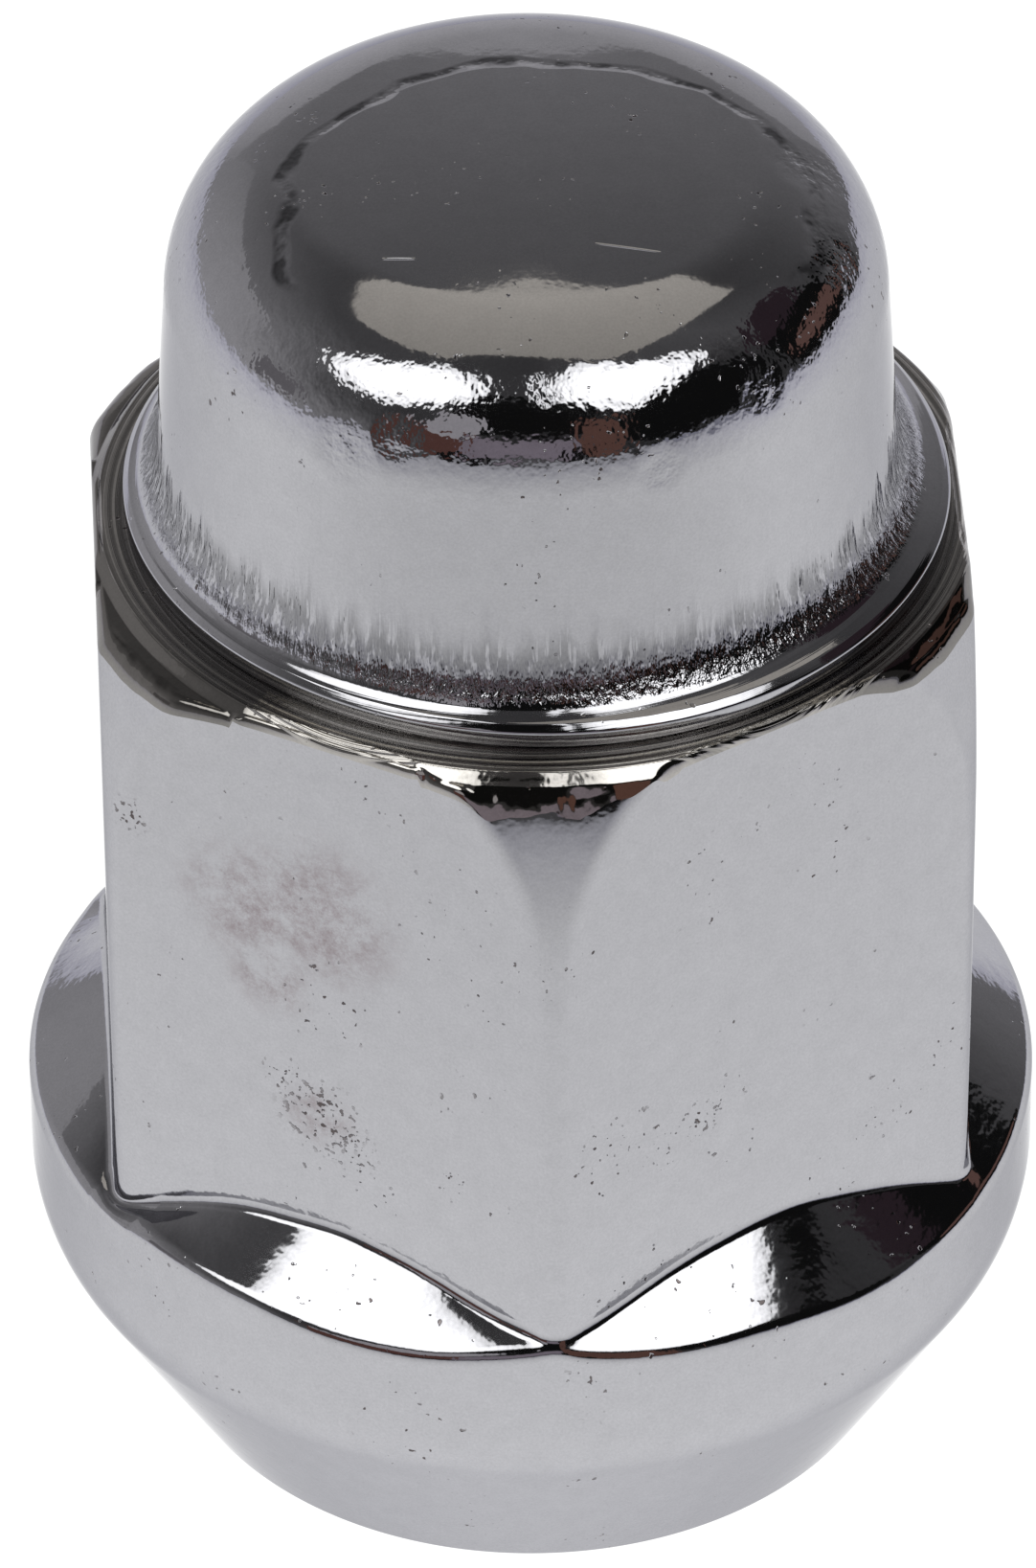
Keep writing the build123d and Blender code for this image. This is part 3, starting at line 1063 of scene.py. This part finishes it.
CARDS = [  # name, outline, colour, brightness of the edge and the middle
    ("front_black", rounded(FRONT_BLACK), BLACK, EVEN),
    ("right_black", rounded(RIGHT_BLACK), BLACK, EVEN),
    ("left_square", patch(-90, -72, 3, 14), DARK_GREY, EVEN),
    ("side_black", rounded(SIDE_BLACK), BLACK, EVEN),
    ("side_brown", rounded(SIDE_BROWN), BROWN, EVEN),
    ("side_brown_high", rounded(SIDE_BROWN_HIGH), BROWN_BLACK, EVEN),
    ("brown_left", patch(-38, -19, 2.5, 20), BROWN_LEFT, EVEN),
    ("dark_foot", patch(-26, -10, HORIZON, 4), BLACK, EVEN),
    ("lilac", patch(-19, 15, 3, 18), LILAC, (1.0, 1.15)),
    ("brown_right", patch(16, 29, 2, 29), BROWN_RIGHT, EVEN),
    ("dark_gap", patch(12, 19, 0, 10), BLACK, EVEN),
    ("grey_left", rounded(GREY_LEFT, 3), MIDDLE_GREY, EVEN),
    ("right_foot", patch(38, 88, HORIZON, 3.2), BLUE_GREY, EVEN),
    ("softbox_left", rounded(LEFT_SOFTBOX), WARM_WHITE, SOFTBOX),
    ("softbox_right", rounded(RIGHT_SOFTBOX), WARM_WHITE, SOFTBOX),
    ("softbox_slit", rounded(SLIT), WHITE, (1.5, 1.8)),
]
LAMPS = {"key_left": (-45, 47), "key_right": (38, 50)}  # azimuth, elevation
LAMP_DISTANCE = 0.9  # m
LAMP_POWER = 9  # W
LAMP_SIZE = 0.5  # m


# painted shade on the floor: how bright it glows at these distances from the part, towards the camera, to the
# sides and behind
FLOOR_STEPS = (0.0, 0.18, 0.34, 0.53, 0.71, 0.97)
FLOOR_FRONT = (1.0, 0.86, 0.70, 0.50, 0.345, 0.12)
FLOOR_SIDE = (1.0, 0.89, 0.855, 0.77, 0.68, 0.52)
FLOOR_BACK = (1.0, 0.98, 0.97, 0.91, 0.73, 0.62)
FLOOR_NEAR = 0.012  # m, 0 in FLOOR_STEPS; 1 is this many doublings farther
FLOOR_DOUBLINGS = 6.0
FLOOR_LIGHT = 1.16
FLOOR_SHOWN = 0.90  # share of its look that is its own light; the rest takes the shadow
FLOOR_RADIUS = 4.0  # m
FLOOR_MATT = (0.8, 0.8, 0.8, 1.0)
FAR_TINT = (1.0, 0.99, 1.12, 1.0)
SOFT_LIGHT = 0.4  # strength of the world for light that falls on things


def fall_off(n, share, levels):
    ramp = n.add("ShaderNodeValToRGB", {"Fac": share})
    marks = ramp.color_ramp.elements
    while len(marks) < len(levels):
        marks.new(0.5)
    for mark, place, level in zip(marks, FLOOR_STEPS, levels):
        mark.position = place
        mark.color = (level, level, level, 1.0)
    return ramp.outputs["Color"]


def floor_glow(n):
    """Pale paper whose glow carries painted shade: dimmer with distance, most of all towards the camera, and
    bluer far away.
    """
    place = n.add("ShaderNodeTexCoord").outputs["Object"]
    flat = n.vector("LENGTH", place)
    ratio = n.math("DIVIDE", n.math("MAXIMUM", flat, FLOOR_NEAR), FLOOR_NEAR)
    far = n.math("DIVIDE", n.math("LOGARITHM", ratio, 2.0), FLOOR_DOUBLINGS)
    forward = n.vector("DOT_PRODUCT", place, direction(0, 0, 1))
    facing = n.math("DIVIDE", forward, n.math("MAXIMUM", flat, 1e-6))
    sides = n.mixed(n.ramp(facing, 0.1, 1.0), fall_off(n, far, FLOOR_SIDE), fall_off(n, far, FLOOR_FRONT))
    level = n.mixed(n.ramp(facing, -0.3, -0.95), sides, fall_off(n, far, FLOOR_BACK))
    tint = n.mixed(n.ramp(far, 0.35, 0.95), (*WHITE, 1.0), FAR_TINT)
    return n.mixed(1.0, level, tint, "MULTIPLY")


def seen(n):
    """1 for what the camera, a reflection or glass sees, 0 for light that falls on things."""
    path = n.add("ShaderNodeLightPath")
    return most(n, [path.outputs[ray] for ray in ("Is Camera Ray", "Is Glossy Ray", "Is Transmission Ray")])


def floor():
    """Pale floor, even to the camera and in reflections, with a soft shadow under the part."""
    n = Nodes(bpy.data.materials.new("floor"))
    pale = n.add("ShaderNodeEmission", {"Color": floor_glow(n), "Strength": FLOOR_LIGHT})
    matt = n.add("ShaderNodeBsdfDiffuse", {"Color": FLOOR_MATT})
    share = n.times(seen(n), FLOOR_SHOWN)
    paper = n.add("ShaderNodeMixShader", {0: share, 1: matt.outputs[0], 2: pale.outputs[0]})
    clear = n.add("ShaderNodeBsdfTransparent")
    below = n.add("ShaderNodeNewGeometry").outputs["Backfacing"]
    top = n.add("ShaderNodeMixShader", {0: below, 1: paper.outputs[0], 2: clear.outputs[0]})
    points = [(FLOOR_RADIUS * cos(a), FLOOR_RADIUS * sin(a), 0.0) for a in even_columns(96)]
    mesh = bpy.data.meshes.new("floor")
    mesh.from_pydata(points, [], [tuple(range(len(points)))])
    mesh.materials.append(n.surface(top))
    add_object("floor", mesh)


def world():
    """White behind everything; a plain soft level for the light that falls on things."""
    n = Nodes(bpy.data.worlds.new("studio"))
    level = n.add("ShaderNodeMapRange", {"Value": seen(n), "To Min": SOFT_LIGHT, "To Max": 1.0})
    background = n.add("ShaderNodeBackground", {"Strength": level.outputs["Result"]})
    bpy.context.scene.world = n.surface(background, "ShaderNodeOutputWorld")


def lamp(name, azimuth, elevation):
    """A soft lamp that lights the floor and matt things; the cards stand for it in reflections."""
    data = bpy.data.lights.new(name, "AREA")
    data.energy = LAMP_POWER
    data.size = LAMP_SIZE
    thing = add_object(name, data)
    thing.location = direction(azimuth, elevation, LAMP_DISTANCE)
    thing.rotation_euler = Vector(thing.location).to_track_quat("Z", "Y").to_euler()
    thing.visible_camera = thing.visible_glossy = False


def camera():
    """It stands where a look at the middle of the part would put it, then turns aside a little."""
    low, high = CAD_BOX
    middle = (Vector(low) + Vector(high)) / 2
    target = Vector((0, 0, middle.z + CAM_LOOK_HEIGHT * MM))
    side, rise = radians(CAM_SIDE), radians(CAM_ELEVATION)
    away = Vector((-cos(rise) * sin(side), -cos(rise) * cos(side), sin(rise)))
    place = target + away * CAM_DISTANCE * MM
    right = (-away).cross(Vector((0, 0, 1))).normalized()
    up = right.cross(-away)
    aim = target + (right * CAM_RIGHT + up * CAM_UP) * MM
    back = (place - aim).normalized()
    right = Vector((0, 0, 1)).cross(back).normalized()
    turn = Matrix((right, back.cross(right), back)).transposed()
    roll = Matrix.Rotation(radians(CAM_ROLL), 3, "Z")
    data = bpy.data.cameras.new("camera")
    data.lens = CAM_LENS
    data.clip_start = 0.01
    data.clip_end = 20
    thing = add_object("camera", data)
    thing.matrix_world = Matrix.Translation(place) @ (turn @ roll).to_4x4()
    bpy.context.scene.camera = thing


def studio():
    """Camera, floor, world, and all that the chrome reflects."""
    bpy.context.scene.view_settings.view_transform = "Standard"
    camera()
    world()
    floor()
    shell()
    overhead_panel()
    for name, (distance, places) in SWEEPS.items():
        sweep(name, distance, places)
    for number, (name, outline, colour, (edge, middle)) in enumerate(CARDS):
        blob(name, outline, colour, edge, middle, CARD - CARD_GAP * number)
    for name, (azimuth, elevation) in LAMPS.items():
        lamp(name, azimuth, elevation)


# ==== the nut ====


def dress(piece, node, material):
    piece.data.materials.append(material)
    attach(piece, "root")
    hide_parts(node)


def nut():
    """The pieces of the nut, each with its plating."""
    plating = chrome("plating", tone=handled_tone, marks=PIT_CLUSTERS)
    turned = chrome("turned_plating", relief=turned_lines, tone=turned_tone_and_front_shade)
    drawn = chrome("drawn_plating", drawn_relief, drawn_tone_and_shade, peel_depth=0.0022, waves_depth=0.012)
    around = columns()
    edge_radius, edge_height = top_edge(around)
    dress(top_piece(around, edge_radius), "nut_body", turned)
    dress(flats_piece(around, edge_radius, edge_height), "nut_body", plating)
    dress(bulge_piece(around), "nut_body", plating)
    dress(bore_piece(), "nut_body", plating)
    dress(cap_piece(), "dome_cap", drawn)


studio()
nut()
